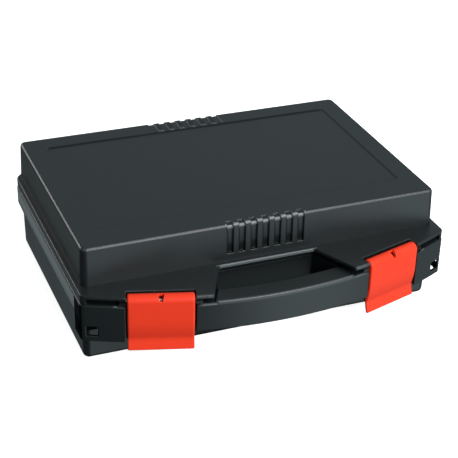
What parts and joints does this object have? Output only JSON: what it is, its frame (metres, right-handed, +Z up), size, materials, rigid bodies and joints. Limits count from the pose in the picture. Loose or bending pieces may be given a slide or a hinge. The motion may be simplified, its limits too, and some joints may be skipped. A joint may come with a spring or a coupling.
{
  "type": "drill case",
  "caption": "Moulded plastic drill case with a hinged lid, a bowed front with a handle bar, snap latches and foam linings.",
  "frame": {"origin": "centre of the face that the case rests on, under the middle of its body", "axes": "+X along the hinge to the right seen from the handle, +Y from the handle to the hinge, +Z up"},
  "size_m": [0.3526, 0.2965, 0.1123],
  "materials": {
    "shell_plastic": "fine textured charcoal plastic",
    "latch_plastic": "smooth orange-red plastic",
    "foam": "open-cell dark grey foam",
    "pin_steel": "plain bright steel"
  },
  "bodies": {
    "case": {"base_shell": "shell_plastic", "left_hinge_pin": "pin_steel", "right_hinge_pin": "pin_steel", "base_foam_pad": "foam", "base_foam_insert": "foam"},
    "lid": {"lid_shell": "shell_plastic", "lid_foam": "foam", "left_latch_pin": "pin_steel", "right_latch_pin": "pin_steel"},
    "left_latch": {"left_latch": "latch_plastic"},
    "right_latch": {"right_latch": "latch_plastic"}
  },
  "joints": [
    {"name": "lid_hinge", "type": "hinge", "parent": "case", "child": "lid", "pos_m": [0, 0.1226, 0.067], "axis": [-1, 0, 0], "range_deg": [0, 105]},
    {"name": "left_latch_pivot", "type": "hinge", "parent": "lid", "child": "left_latch", "pos_m": [-0.1103, -0.14574, 0.0702], "axis": [-0.959, 0.2835, 0], "range_deg": [0, 115]},
    {"name": "right_latch_pivot", "type": "hinge", "parent": "lid", "child": "right_latch", "pos_m": [0.1103, -0.14574, 0.0702], "axis": [-0.959, -0.2835, 0], "range_deg": [0, 115]}
  ]
}
